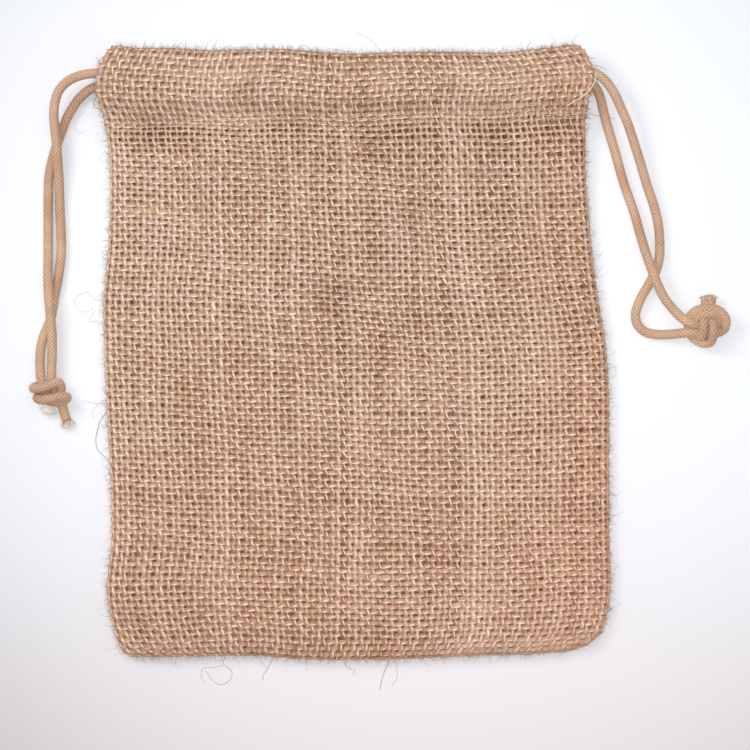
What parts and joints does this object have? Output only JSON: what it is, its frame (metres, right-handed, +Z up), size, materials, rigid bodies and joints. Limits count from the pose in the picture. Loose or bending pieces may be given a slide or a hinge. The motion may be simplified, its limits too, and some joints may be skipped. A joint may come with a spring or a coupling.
{
  "type": "burlap drawstring sack",
  "caption": "Small flat sack of coarse woven jute with a hemmed mouth and a knotted cotton drawstring at each side.",
  "frame": {"origin": "on the surface that the sack lies on, under the middle of the two cloth panels' box", "axes": "+Y towards the mouth, +X to the right seen from the front, +Z up through the front panel"},
  "size_m": [0.3508, 0.3079, 0.0218],
  "materials": {
    "jute": "coarse open plain weave, dry and hairy, raw jute colour",
    "cotton_cord": "matt braided cotton, tan, with pale frayed ends"
  },
  "bodies": {
    "root": {"front_panel": "jute", "back_panel": "jute", "left_front_strand": "cotton_cord", "left_hidden_run": "cotton_cord", "left_back_strand": "cotton_cord", "left_knot": "cotton_cord", "right_front_strand": "cotton_cord", "right_hidden_run": "cotton_cord", "right_back_strand": "cotton_cord", "right_knot": "cotton_cord"}
  },
  "joints": []
}
